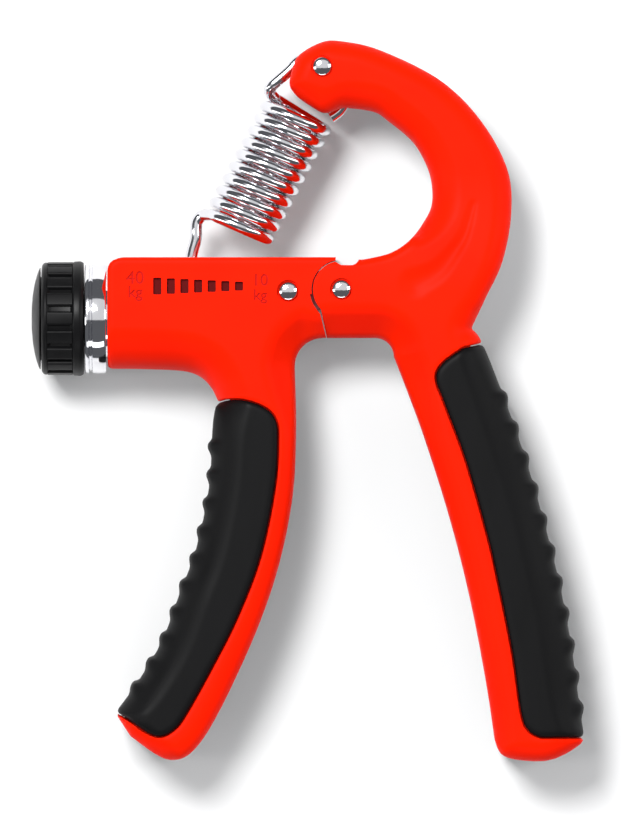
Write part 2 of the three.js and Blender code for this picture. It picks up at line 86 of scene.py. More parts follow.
def spline(points: Points, steps: int = 24) -> Points:
    """Runs a smooth curve through points.

    Args:
        points: The points that it passes through, in the plane or in space.
        steps: How many pieces the curve is drawn with.

    Returns:
        The points of the drawn curve.
    """
    p = np.asarray(points, dtype=float)
    where = np.linspace(0, len(p) - 1, steps + 1)
    i = np.minimum(where.astype(int), len(p) - 2)
    t = (where - i)[:, None]
    a, b, c, d = p[np.maximum(i - 1, 0)], p[i], p[i + 1], p[np.minimum(i + 2, len(p) - 1)]
    v0, v1 = (c - a) / 2, (d - b) / 2
    out = (2 * b - 2 * c + v0 + v1) * t**3 + (-3 * b + 3 * c - 2 * v0 - v1) * t**2 + v0 * t + b
    return [tuple(row) for row in out]


def arc(cx: float, cy: float, radius: float, start: float, end: float, steps: int = 12) -> Points:
    """Draws part of a circle from one angle in degrees to another.

    Args:
        cx: Centre along x.
        cy: Centre along y.
        radius: Its radius.
        start: First angle.
        end: Last angle.
        steps: How many pieces it is drawn with.

    Returns:
        The points along it.
    """
    angles = np.radians(np.linspace(start, end, steps + 1))
    return [(cx + radius * math.cos(a), cy + radius * math.sin(a)) for a in angles]


def soften(profile: Points, radius: float, steps: int = 4) -> Points:
    """Rounds the inner corners of an open outline.

    Args:
        profile: The outline's points.
        radius: How far the rounding reaches along each side.
        steps: How many pieces each rounding has.

    Returns:
        The outline with rounded corners.
    """
    p = [np.array(q, dtype=float) for q in profile]
    out = [p[0]]
    for a, b, c in zip(p, p[1:], p[2:]):
        reach = min(radius, np.linalg.norm(a - b) * 0.45, np.linalg.norm(c - b) * 0.45)
        start = b + (a - b) / max(np.linalg.norm(a - b), 1e-9) * reach
        end = b + (c - b) / max(np.linalg.norm(c - b), 1e-9) * reach
        out += [(1 - t) ** 2 * start + 2 * t * (1 - t) * b + t * t * end for t in np.linspace(0, 1, steps + 1)]
    return [tuple(q) for q in out + [p[-1]]]


def smoothstep(low: float, high: float, value: np.ndarray) -> np.ndarray:
    """Runs smoothly from 0 at low to 1 at high."""
    t = np.clip((value - low) / (high - low), 0, 1)
    return t * t * (3 - 2 * t)


# -------------------------------------------------------------------------------------- moulded volumes
def line_distance(points: Points, x: np.ndarray, y: np.ndarray) -> np.ndarray:
    """Measures how far each place in the plane is from an open line."""
    nearest = np.full(np.broadcast(x, y).shape, 1e9)
    for (ax, ay), (bx, by) in zip(points, points[1:]):
        dx, dy = bx - ax, by - ay
        t = np.clip(((x - ax) * dx + (y - ay) * dy) / max(dx * dx + dy * dy, 1e-12), 0, 1)
        nearest = np.minimum(nearest, (x - ax - t * dx) ** 2 + (y - ay - t * dy) ** 2)
    return np.sqrt(nearest)


def outline_distance(points: Points, x: np.ndarray, y: np.ndarray) -> np.ndarray:
    """Measures how far each place is from a closed outline, negative inside it."""
    closed = list(points) + [points[0]]
    inside = np.zeros(np.broadcast(x, y).shape, dtype=bool)
    for (ax, ay), (bx, by) in zip(closed, closed[1:]):
        if ay != by:
            inside ^= ((ay > y) != (by > y)) & (x < (bx - ax) * (y - ay) / (by - ay) + ax)
    distance = line_distance(closed, x, y)
    return np.where(inside, -distance, distance)


def smooth_max(a: np.ndarray, b: np.ndarray, width: float) -> np.ndarray:
    """Keeps the larger of two fields, with the crease between them rounded over a width."""
    h = np.clip(0.5 + 0.5 * (a - b) / width, 0, 1)
    return b + (a - b) * h + width * h * (1 - h)


@dataclass
class Mould:
    """A block of space that a rounded moulding is worked out in.

    Attributes:
        low: Its lowest corner.
        high: Its highest corner.
        step: Distance between the places where the shape is worked out.
    """

    low: tuple[float, float, float]
    high: tuple[float, float, float]
    step: float = 0.42

    def __post_init__(self) -> None:
        """Lays out the places along each axis."""
        axes = [np.arange(a, b + self.step, self.step) for a, b in zip(self.low, self.high)]
        self.x, self.y = axes[0][:, None], axes[1][None, :]
        self.z = axes[2][None, None, :]

    def rounded_slab(self, plan: np.ndarray, half: np.ndarray | float, radius: np.ndarray | float) -> np.ndarray:
        """Gives a flat outline a depth, with its front and back edges rounded.

        Args:
            plan: Distance from the outline, negative inside.
            half: Half the depth.
            radius: Radius of the rounding, which may change from place to place.

        Returns:
            The field of the moulding, negative inside.
        """
        r = np.broadcast_to(radius, plan.shape)[:, :, None]
        h = np.broadcast_to(half, plan.shape)[:, :, None]
        a = plan[:, :, None] + r
        b = np.abs(self.z) - (h - r)
        return np.minimum(np.maximum(a, b), 0) + np.hypot(np.maximum(a, 0), np.maximum(b, 0)) - r

    def skin(self, name: str, field: np.ndarray) -> bpy.types.Object:
        """Makes the surface where a field is 0.

        Args:
            name: Name of the piece.
            field: Values at every place, negative inside.

        Returns:
            A closed mesh object in the frame's metres.
        """
        f = field.astype(np.float64)
        inside = f < 0
        corners = [(i, j, k) for i in (0, 1) for j in (0, 1) for k in (0, 1)]
        nx, ny, nz = (n - 1 for n in f.shape)
        count = sum(inside[i:i + nx, j:j + ny, k:k + nz].astype(np.int8) for i, j, k in corners)
        cells = np.argwhere((count > 0) & (count < 8))
        index = np.full((nx, ny, nz), -1, dtype=np.int64)
        index[tuple(cells.T)] = np.arange(len(cells))
        total, hits = np.zeros((len(cells), 3)), np.zeros((len(cells), 1))
        for a in corners:
            for axis in range(3):
                if a[axis]:
                    continue
                b = tuple(a[n] + (n == axis) for n in range(3))
                fa, fb = f[tuple((cells + a).T)], f[tuple((cells + b).T)]
                cross = ((fa < 0) != (fb < 0))[:, None]
                t = np.where(cross[:, 0], fa / np.where(fa == fb, 1, fa - fb), 0)[:, None]
                total += cross * (np.array(a) + t * (np.array(b) - np.array(a)))
                hits += cross
        places = cells + total / hits
        faces = []
        for axis in range(3):
            u, v = (axis + 1) % 3, (axis + 2) % 3
            here = [slice(1, -1)] * 3
            here[axis] = slice(0, -1)
            there = list(here)
            there[axis] = slice(1, None)
            change = inside[tuple(here)] != inside[tuple(there)]
            p = np.argwhere(change)
            p[:, u] += 1
            p[:, v] += 1
            su, sv = np.eye(3, dtype=int)[u], np.eye(3, dtype=int)[v]
            quad = np.stack([index[tuple((p - s).T)] for s in (su + sv, sv, 0 * su, su)], axis=1)
            outward = inside[tuple(p.T)]
            faces.append(np.where(outward[:, None], quad, quad[:, ::-1]))
        places = self._settle(f, places)
        mesh = bpy.data.meshes.new(name)
        quads = np.concatenate(faces)
        mesh.from_pydata(to_frame(np.array(self.low) + places * self.step).tolist(), [], quads.tolist())
        mesh.shade_smooth()
        made = bpy.data.objects.new(name, mesh)
        bpy.context.scene.collection.objects.link(made)
        return made

    @staticmethod
    def _settle(f: np.ndarray, places: np.ndarray) -> np.ndarray:
        """Moves a surface's points onto the exact surface of a field.

        Args:
            f: The field.
            places: Points in steps of the field.

        Returns:
            The moved points.
        """

        def sample(p: np.ndarray) -> np.ndarray:
            """Reads the field between its places."""
            q = np.clip(p, 0, np.array(f.shape) - 1.001)
            i = q.astype(int)
            t = q - i
            value = 0
            for a in (0, 1):
                for b in (0, 1):
                    for c in (0, 1):
                        w = np.abs(1 - a - t[:, 0]) * np.abs(1 - b - t[:, 1]) * np.abs(1 - c - t[:, 2])
                        value = value + w * f[i[:, 0] + a, i[:, 1] + b, i[:, 2] + c]
            return value

        home = places
        for _ in range(3):
            slope = np.stack([(sample(places + e) - sample(places - e)) for e in np.eye(3) * 0.5], axis=1)
            push = sample(places)[:, None] * slope / np.maximum((slope**2).sum(axis=1, keepdims=True), 1e-6)
            places = np.clip(places - push, home - 0.5, home + 0.5)
        return places


# ------------------------------------------------------------------------------------------ mesh makers
def mesh_object(name: str, vertices: np.ndarray, faces: list, smooth: float | None = 35) -> bpy.types.Object:
    """Makes a closed mesh from points in millimetres from the hinge.

    Args:
        name: Name of the piece.
        vertices: Rows x, y, z.
        faces: Lists of vertex numbers.
        smooth: Angle in degrees past which an edge stays sharp, or None for flat faces.

    Returns:
        The linked object, at the origin.
    """
    mesh = bpy.data.meshes.new(name)
    mesh.from_pydata(to_frame(vertices).tolist(), [], faces)
    tidy(mesh)
    if smooth is not None:
        mesh.shade_smooth()
        mesh.set_sharp_from_angle(angle=math.radians(smooth))
    made = bpy.data.objects.new(name, mesh)
    bpy.context.scene.collection.objects.link(made)
    return made


def tidy(mesh: bpy.types.Mesh) -> None:
    """Merges a mesh's doubled points and turns its faces outwards."""
    bm = bmesh.new()
    bm.from_mesh(mesh)
    bmesh.ops.remove_doubles(bm, verts=bm.verts, dist=1e-7)
    bmesh.ops.recalc_face_normals(bm, faces=bm.faces)
    bm.to_mesh(mesh)
    bm.free()


def prism(name: str, outline: Points, back: float, front: float) -> bpy.types.Object:
    """Gives a flat outline a depth with sharp edges."""
    n = len(outline)
    v = [(x, y, back) for x, y in outline] + [(x, y, front) for x, y in outline]
    sides = [(i, (i + 1) % n, n + (i + 1) % n, n + i) for i in range(n)]
    return mesh_object(name, np.array(v), sides + [tuple(range(n))[::-1], tuple(range(n, 2 * n))])


def box(name: str, x: Pair, y: Pair, z: Pair) -> bpy.types.Object:
    """Makes a plain block between two values along each axis."""
    return prism(name, [(x[0], y[0]), (x[1], y[0]), (x[1], y[1]), (x[0], y[1])], *z)


class Axis(Enum):
    """Which way a turned piece's own axis points."""

    FRONT = 0
    KNOB = 1


def turned(name: str, profile: Points, axis: Axis, at: tuple[float, float, float],
           sides: int = 64) -> bpy.types.Object:
    """Makes a lathed piece.

    Args:
        name: Name of the piece.
        profile: Rows of radius and place along the axis, closed unless both ends are on the axis.
        axis: FRONT for an axis along z, KNOB for one along x.
        at: A point on the axis that the places are counted from.
        sides: How many faces go round.

    Returns:
        The linked object.
    """
    open_ends = profile[0][0] == 0 and profile[-1][0] == 0
    turn = np.linspace(0, 2 * math.pi, sides, endpoint=False)
    rings, vertices = [], []
    for r, a in profile:
        count = 1 if r == 0 else sides
        rings.append([len(vertices) + i for i in range(count)] * (sides // count))
        for t in turn[:count]:
            c, s = r * math.cos(t), r * math.sin(t)
            vertices.append((c, s, a) if axis is Axis.FRONT else (a, c, s))
    pairs = list(zip(rings, rings[1:])) + ([] if open_ends else [(rings[-1], rings[0])])
    faces = []
    for low, high in pairs:
        for i in range(sides):
            j = (i + 1) % sides
            loop = [low[i], low[j], high[j], high[i]]
            faces.append([q for n, q in enumerate(loop) if q not in loop[:n]])
    return mesh_object(name, np.array(vertices) + np.array(at), [f for f in faces if len(f) > 2])


def cut(piece: bpy.types.Object, tools: list[bpy.types.Object]) -> bpy.types.Object:
    """Cuts closed shapes out of a closed mesh.

    Args:
        piece: The mesh that is cut, replaced by the result.
        tools: Closed meshes, removed afterwards. A tool's material dresses the faces that it leaves.

    Returns:
        The cut piece.
    """
    for tool in tools:
        step = piece.modifiers.new("cut", "BOOLEAN")
        step.operation = "DIFFERENCE"
        step.solver = "MANIFOLD"
        step.object = tool
        if tool.data.materials:
            step.material_mode = "TRANSFER"
        graph = bpy.context.evaluated_depsgraph_get()
        result = bpy.data.meshes.new_from_object(piece.evaluated_get(graph))
        piece.modifiers.clear()
        piece.data = result
        bpy.data.objects.remove(tool)
    piece.data.shade_smooth()
    piece.data.set_sharp_from_angle(angle=math.radians(35))
    return piece


# -------------------------------------------------------------------------------------------- materials
def linear(code: str) -> tuple[float, float, float, float]:
    """Turns a hex sRGB colour into the linear values that the shader takes."""
    parts = [int(code[i:i + 2], 16) / 255 for i in (1, 3, 5)]
    r, g, b = [c / 12.92 if c <= 0.04045 else ((c + 0.055) / 1.055) ** 2.4 for c in parts]
    return r, g, b, 1.0


def add(tree: bpy.types.NodeTree, kind: str, settings: dict | None = None,
        links: dict | None = None) -> bpy.types.Node:
    """Adds one node to a tree.

    Args:
        tree: The tree.
        kind: The node's type.
        settings: Values for its properties, or for its inputs by name or number.
        links: Output sockets to join to its inputs, by name or number.

    Returns:
        The node.
    """
    node = tree.nodes.new(kind)
    for key, value in (settings or {}).items():
        if isinstance(key, str) and hasattr(node, key):
            setattr(node, key, value)
        else:
            node.inputs[key].default_value = value
    for key, socket in (links or {}).items():
        tree.links.new(socket, node.inputs[key])
    return node


@dataclass(frozen=True)
class Finish:
    """How one kind of surface looks.

    Attributes:
        name: What the material is and how it was made.
        colour: Its main colour.
        second: The colour that it drifts to in patches.
        patch: Size of the patches in mm.
        grain: Size of the surface's fine relief in mm.
        relief: Depth of that relief in mm.
        roughness: Lowest and highest roughness.
        metallic: 1 for a metal.
        stretch: How far the patches are drawn out along x, y and z.
        specular: Strength of the mirror reflection of a plastic, 0.5 for a plain one.
    """

    name: str
    colour: str
    second: str
    patch: float
    grain: float
    relief: float
    roughness: tuple[float, float]
    metallic: float = 0.0
    stretch: tuple[float, float, float] = (1, 1, 1)
    specular: float = 0.5

    def build(self) -> bpy.types.Material:
        """Makes the material.

        Returns:
            The material, with its pattern on Object coordinates.
        """
        material = bpy.data.materials.new(self.name)
        material.use_nodes = True
        tree = material.node_tree
        tree.nodes.clear()
        place = add(tree, "ShaderNodeTexCoord").outputs["Object"]
        drawn = add(tree, "ShaderNodeMapping", {"Scale": [1 / s for s in self.stretch]}, {"Vector": place})
        patches = add(tree, "ShaderNodeTexNoise", {"Scale": 1 / (self.patch * MM), "Detail": 3.0},
                      {"Vector": drawn.outputs[0]}).outputs[0]
        grains = add(tree, "ShaderNodeTexNoise", {"Scale": 1 / (self.grain * MM), "Detail": 2.0},
                     {"Vector": drawn.outputs[0]}).outputs[0]
        colour = add(tree, "ShaderNodeMix", {"data_type": "RGBA", 6: linear(self.colour), 7: linear(self.second)},
                     {0: patches})
        rough = add(tree, "ShaderNodeMapRange", {"From Min": 0.3, "From Max": 0.7, "To Min": self.roughness[0],
                                                 "To Max": self.roughness[1]}, {"Value": patches})
        bump = add(tree, "ShaderNodeBump", {"Strength": 0.6, "Distance": self.relief * MM}, {"Height": grains})
        shader = add(tree, "ShaderNodeBsdfPrincipled", {"Metallic": self.metallic,
                                                           "Specular IOR Level": self.specular},
                     {"Base Color": colour.outputs[2], "Roughness": rough.outputs[0], "Normal": bump.outputs[0]})
        add(tree, "ShaderNodeOutputMaterial", links={"Surface": shader.outputs[0]})
        return material


# Injection-moulded ABS in signal red. The tool's polish leaves a faint orange peel about 1.6 mm across,
# and the flow of the melt leaves the gloss a little uneven.
RED_ABS = Finish("moulded_red_abs", "#FF2203", "#FB1A02", 14, 1.6, 0.004, (0.40, 0.50), specular=0.03)
# The bottoms of the scale's bars, in a dull dark red that is painted shade: it darkens the deep recesses as shade
# would.
BAR_FLOOR_PAINTED_SHADE = Finish("bar_floor_painted_shade", "#6A0203", "#5A0102", 3, 0.5, 0.01, (0.5, 0.6), specular=0.1)
# The same plastic where it is debossed and never polished, so a little duller; its darker red is painted shade in the
# sunk figures.
DEBOSS_PAINTED_SHADE = Finish("debossed_red_abs_painted_shade", "#D80E02", "#CE0A02", 3, 0.4, 0.01, (0.5, 0.6), specular=0.12)
# Over-moulded thermoplastic rubber. Long satin streaks run with the handle, left by the flow and by hands.
# Its real grain is about 0.1 mm and is drawn at 0.35 mm to show.
GRIP_RUBBER = Finish("overmoulded_black_rubber", "#0A0A0B", "#121213", 5, 0.35, 0.010, (0.44, 0.56), 0, (1, 4, 1),
                     specular=0.1)
# Moulded black ABS with a fine spark-eroded texture, worn smoother by turning.
KNOB_ABS = Finish("satin_black_abs", "#0B0B0C", "#131314", 6, 0.4, 0.006, (0.34, 0.46), specular=0.14)
# Bright nickel-chrome plate on steel wire. The drawn wire's faint die marks soften the reflection in patches.
WIRE_CHROME = Finish("chromed_spring_wire", "#E9E9EC", "#DADADF", 4, 0.9, 0.0006, (0.08, 0.14), 1.0)
# Polished chrome plate on a turned brass collar and on the rivet heads.
PLATE_CHROME = Finish("polished_chrome_plate", "#EFEFF1", "#E2E2E6", 9, 1.2, 0.001, (0.05, 0.10), 1.0)
# Zinc-plated stampings and the screw, with a dull bluish bloom.
ZINC_STEEL = Finish("zinc_plated_steel", "#B7BBC0", "#A3A6AA", 2.5, 0.4, 0.004, (0.28, 0.42), 1.0)
# Machined brass for the nut and the bush.
TURNED_BRASS = Finish("turned_brass", "#D6AE5B", "#C59A48", 3, 0.3, 0.003, (0.22, 0.34), 1.0)
# Moulded acetal, slightly waxy, for the thrust washer and the carriage.
ACETAL = Finish("moulded_black_acetal", "#202022", "#2A2A2C", 4, 0.5, 0.005, (0.38, 0.5))


def dress(piece: bpy.types.Object, material: bpy.types.Material) -> None:
    """Gives a piece one material all over."""
    piece.data.materials.clear()
    piece.data.materials.append(material)


def issue(piece: bpy.types.Object, body: str, stands_for: list[str]) -> bpy.types.Object:
    """Hands a finished piece over to the frame.

    Args:
        piece: The piece.
        body: The body that it moves with.
        stands_for: The frame's nodes that it is shown instead of.

    Returns:
        The piece.
    """
    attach(piece, body)
    if stands_for:
        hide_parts(*stands_for)
    LOG.info("%s: %d faces, on %s", piece.name, len(piece.data.polygons), body)
    return piece


# --------------------------------------------------------------------------------------------- handles
def handle_y(share: float) -> float:
    """Height of a point at a share of the way down the handles."""
    return -17 - 84 * share


def rivet_hole(x: float, y: float, face: float) -> bpy.types.Object:
    """Makes the shape that a rivet's hole and recesses take out of a handle."""
    profile = [(0, -face - 1), (3.7, -face - 1), (3.7, -face + 0.8), (1.6, -face + 0.8), (1.6, face - 0.8),
               (2.45, face - 0.8), (2.45, face + 1), (0, face + 1)]
    return turned("rivet_hole", profile, Axis.FRONT, (x, y, 0), 40)


def edge_blend(x: np.ndarray, y: np.ndarray, edges: list[tuple[Points, float]]) -> np.ndarray:
    """Blends the rounding of several edges by how near each one is.

    Args:
        x: Places along x.
        y: Places along y.
        edges: Open lines, each with its rounding.

    Returns:
        The rounding at every place.
    """
    total = weight = 0
    for line, radius in edges:
        w = 1 / (line_distance(line, x, y) ** 2 + 0.8) ** 2
        total = total + w * radius
        weight = weight + w
    return total / weight


def rib_profile(line: Points, x: np.ndarray, y: np.ndarray, count: int, start: float, end: float) -> np.ndarray:
    """Height of the grip's hooked ribs, from 0 to 1, by the nearest place on the outer edge.

    Args:
        line: The grip's outer edge.
        x: Places along x.
        y: Places along y.
        count: How many ribs there are.
        start: Share of the edge's length where the first rib is.
        end: Share where the last one is.

    Returns:
        The profile at every place in the plane.
    """
    best = np.full(np.broadcast(x, y).shape, 1e9)
    along = np.zeros_like(best)
    run = 0.0
    for (ax, ay), (bx, by) in zip(line, line[1:]):
        dx, dy = bx - ax, by - ay
        length = math.hypot(dx, dy)
        t = np.clip(((x - ax) * dx + (y - ay) * dy) / length**2, 0, 1)
        d = (x - ax - t * dx) ** 2 + (y - ay - t * dy) ** 2
        along = np.where(d < best, run + t * length, along)
        best = np.minimum(best, d)
        run += length
    phase = (along / run - start) / (end - start) * (count - 1) + 0.5
    t = phase - np.floor(phase)
    shape = smoothstep(0.08, 0.5, t) * (1 - smoothstep(0.54, 0.8, t))
    near = 1 - smoothstep(0.6, 4.5, np.sqrt(best))
    return shape * near * ((phase > 0) & (phase < count))


@dataclass
class Handle:
    """What the two handles share.

    Attributes:
        half: Half the depth from front to back.
        wall: Thickness of the rubber.
        gap: Fine gap between rubber and plastic.
        rib_height: How far the ribs stand out.
    """

    half: float = 12.5
    wall: float = 2.7
    gap: float = 0.25
    rib_height: float = 0.9

    def slopes(self, mould: Mould, inner: Points, width: np.ndarray) -> np.ndarray:
        """Field of the 45 degree band along the inner edge.

        Args:
            mould: The space.
            inner: The inner edge.
            width: Width of the band at every place in the plane.

        Returns:
            The field, negative where the band leaves material.
        """
        e = line_distance(inner, mould.x, mould.y)
        return (np.abs(mould.z) - self.half + (width - e)[:, :, None]) / math.sqrt(2)

    def split(self, whole: np.ndarray, ribs: np.ndarray, region: np.ndarray,
              mould: Mould) -> tuple[np.ndarray, np.ndarray]:
        """Splits a handle's field into its rubber and its plastic.

        Args:
            whole: Field of the whole handle.
            ribs: Heights of the ribs over the plane.
            region: Distance from the rubber's outline.
            mould: The space.

        Returns:
            The rubber's field and the plastic's field.
        """
        deep = 1 - smoothstep(self.half - 4.5, self.half - 1.5, np.abs(mould.z))
        ribbed = whole - self.rib_height * ribs[:, :, None] * deep
        grown = np.maximum(region[:, :, None] - self.gap, -(whole + self.wall))
        plastic = smooth_max(whole, -grown, 0.5)
        rubber = smooth_max(smooth_max(ribbed, region[:, :, None] + 0 * whole, 1.1),
                            -(whole + self.wall - self.gap), 0.3)
        return rubber, plastic


@dataclass
class LeftHandle(Handle):
    """The red handle on the knob's side: barrel, arch and grip.

    Attributes:
        top: Height of the barrel's flat top.
        end: Where the barrel ends at the collar.
        arch: Height of the arch's crown.
        bars: How many bars the scale has.
        pitch: Distance between them.
        first_bar: Where the shortest bar is along x.
        bar_y: Height of the bars' middle.
        bar_half: Half a bar's width.
        bar_tall: Height of the shortest and the tallest bar.
        swept_radii: Inner and outer radius of the space that the right handle's flank sweeps.
    """

    top: float = 6.9
    end: float = -50.2
    arch: float = ARCH_Y
    bars: int = 7
    pitch: float = 2.92
    first_bar: float = -21.95
    bar_y: float = 0.69
    bar_half: float = 0.87
    bar_tall: Pair = (1.9, 3.6)
    swept_radii: Pair = (6.75, 11.4)

    def build(self) -> None:
        """Makes the plastic body with its scale, and the rubber grip."""
        h = handle_y
        inner = spline([(-10, h(0)), (-9.7, h(0.16)), (-10.6, h(0.34)), (-14.3, h(0.54)), (-20.9, h(0.745)),
                        (-29.9, h(0.95)), (-36.8, h(1)), (-45.2, h(0.94))], 48)
        outer = spline([(-48.6, h(0.88)), (-43.7, h(0.8)), (-38.5, h(0.695)), (-34.6, h(0.57)), (-31.2, h(0.46)),
                        (-28.4, h(0.3)), (-27.6, h(0.14)), (-26.6, -23.7)], 48)
        arch = [(6, self.arch)] + arc(-4, self.arch - 6, 6, 90, 180, 12)
        under = spline([(-26.6, -23.7), (-28, -21), (-30.4, -18.7), (-34.1, -17.5), (-42, -17.1), (self.end, -17),
                        (-62, -17)], 36)
        top = [(-62, self.top), (6, self.top)]
        m = Mould((-53, -103.5, -13.4), (7, 9, 13.4))
        plan = outline_distance(top + arch + inner + outer + under, m.x, m.y)
        radius = edge_blend(m.x, m.y, [(top, 1.0), (under, 10.0), (outer[:-3], 7.4), (arch, 1.2),
                                       (inner[:40], 1.5), (inner[40:], 5.0)])
        slab = m.rounded_slab(plan, self.half, radius)
        width = 2.2 + 3.8 * smoothstep(-34, -15, m.y) - 1.4 * smoothstep(-9, -5, m.x)
        whole = smooth_max(slab, self.slopes(m, arch + inner, width), 1.3)
        corner = arc(self.end + 3, self.top - 3, 3, 180, 115, 6)
        cap = outline_distance([(self.end, -60)] + corner + [(-30, 22), (30, 22), (30, -120), (self.end, -120)],
                               m.x, m.y)
        whole = smooth_max(whole, cap[:, :, None] + 0 * whole, 1.1)
        rubber_inner = spline([(-27.4, -24.6), (-23.3, -23.7), (-19.3, -24.2), (-15.7, -25.9), (-14, -28.2),
                               (-13.6, -31.7), (-14.2, -41.9), (-17.3, -57.1), (-22.3, -70.3), (-27.9, -81.4),
                               (-33, -90.6), (-35.5, -94.1), (-38.6, -95.9), (-41.6, -95.1), (-45.2, -92.6),
                               (-47.7, -91.1)], 90)
        region = outline_distance(rubber_inner + [(-60, -83.7), (-60, -24.6)], m.x, m.y)
        ribs = rib_profile(outer, m.x, m.y, 10, 0.1, 0.86)
        rubber, plastic = self.split(whole, ribs, region, m)
        grip = m.skin("left_grip_rubber", rubber)
        dress(grip, MATERIALS["rubber"])
        issue(grip, "left_handle", ["left_grip"])
        body = m.skin("left_body", plastic)
        dress(body, MATERIALS["red"])
        cut(body, self.openings())
        cut(body, self.scale())
        body.visible_diffuse = False
        issue(body, "left_handle", ["left_handle"])

    def openings(self) -> list[bpy.types.Object]:
        """Makes the shapes of the seam, the hinge's space, the slot, the screw's space and the holes.

        Returns:
            The tools, in the order that they cut.
        """
        seam = [(8, -22), (8, 10), (-1.2, 10)] + arc(0, 0, 6.4, 101, 222, 40) + [(-3.22, self.arch), (-2.72, -22)]
        near, far = self.swept_radii
        swept = turned("swept", [(0, -14), (near, -14), (near, -self.swept_depth(near)), (far, -self.swept_depth(far)),
                                 (far, self.swept_depth(far)), (near, self.swept_depth(near)), (near, 14), (0, 14)],
                       Axis.FRONT, (0, 0, 0), 96)
        cut(swept, [box("above", (-14, 14), (-1, 14), (-16, 16))])
        plate = arc(0, 0, 4.5, -88, 92, 20) + arc(-11.4, -0.4, 4.5, 92, 272, 20)
        slot_x = (-28.7 - 11.1 - 5.6, -28.7 + 6.5 + 3.6)
        return [
            prism("seam", seam, -16, 16),
            swept,
            box("space", (self.end - 1, -18.1), (-11.9, 4.5), (-5.5, 5.5)),
            prism("slot", soften([(-30, 0), (slot_x[0], 0), (slot_x[0], 9), (slot_x[1], 9), (slot_x[1], 0), (-30, 0)],
                                 0.4)[:-1], -2.1, 2.1),
            prism("plate_room", plate, -2.3, 2.3),
            turned("bush", [(0, -19.1), (3, -19.1), (3, -15.2), (0, -15.2)], Axis.KNOB, (0, SCREW_Y, 0), 32),
            turned("spigot", [(0, -51.2), (8.7, -51.2), (8.7, -47.5), (0, -47.5)], Axis.KNOB, (0, SCREW_Y, 0), 64),
            rivet_hole(-11.4, -0.4, self.half),
        ]

    def swept_depth(self, radius: float) -> float:
        """Half the depth that the right handle's sloped flank needs at a radius, with its clearance."""
        return self.half - 1.38 * (radius - 6.6) + 0.3

    def scale(self) -> list[bpy.types.Object]:
        """Makes the load scale's bars and its figures, which are sunk into the barrel's face.

        Returns:
            The tools, each with the material of its recess.
        """
        tools = []
        short, long = self.bar_tall
        for i in range(self.bars):
            x, tall = self.first_bar - i * self.pitch, short + (long - short) * i / (self.bars - 1)
            left, right = x - self.bar_half, x + self.bar_half
            low, high = self.bar_y - tall / 2, self.bar_y + tall / 2
            bar = soften([(x, low), (left, low), (left, high), (right, high), (right, low), (x, low)], 0.25)
            tools.append(prism(f"bar_{i}", bar[:-1], self.half - 0.9, self.half + 1))
            # Each bar's floor takes the dull dark red that is painted shade of its deep recess.
            dress(tools[-1], MATERIALS["bar"])
        for words, x, y, size in (("40", -44.2, 1.2, 3.9), ("kg", -44.2, -1.7, 3.5), ("10", -17.4, 0.8, 3.6),
                                  ("kg", -17.4, -2.3, 3.3)):
            tools.append(engraving(words, x, y, size, self.half))
        return tools


def engraving(words: str, x: float, y: float, size: float, face: float) -> bpy.types.Object:
    """Makes figures as a closed shape that can be cut into a face.

    Args:
        words: The figures.
        x: Their middle.
        y: Their base line.
        size: Height of the type.
        face: Height of the face above mid-depth.

    Returns:
        The tool.
    """
    curve = bpy.data.curves.new("figures", "FONT")
    curve.body, curve.size, curve.extrude, curve.align_x = words, size, 0.9, "CENTER"
    curve.resolution_u, curve.offset = 3, 0.03
    words_object = bpy.data.objects.new("figures", curve)
    bpy.context.scene.collection.objects.link(words_object)
    mesh = bpy.data.meshes.new_from_object(words_object.evaluated_get(bpy.context.evaluated_depsgraph_get()))
    bpy.data.objects.remove(words_object)
    mesh.transform(Matrix.Translation(HINGE + Vector((x, y, face + 0.62)) * MM) @ Matrix.Scale(MM, 4))
    tidy(mesh)
    made = bpy.data.objects.new("figures", mesh)
    bpy.context.scene.collection.objects.link(made)
    # The figures' faces take the darker red that is painted shade of their recess.
    dress(made, MATERIALS["deboss"])
    return made


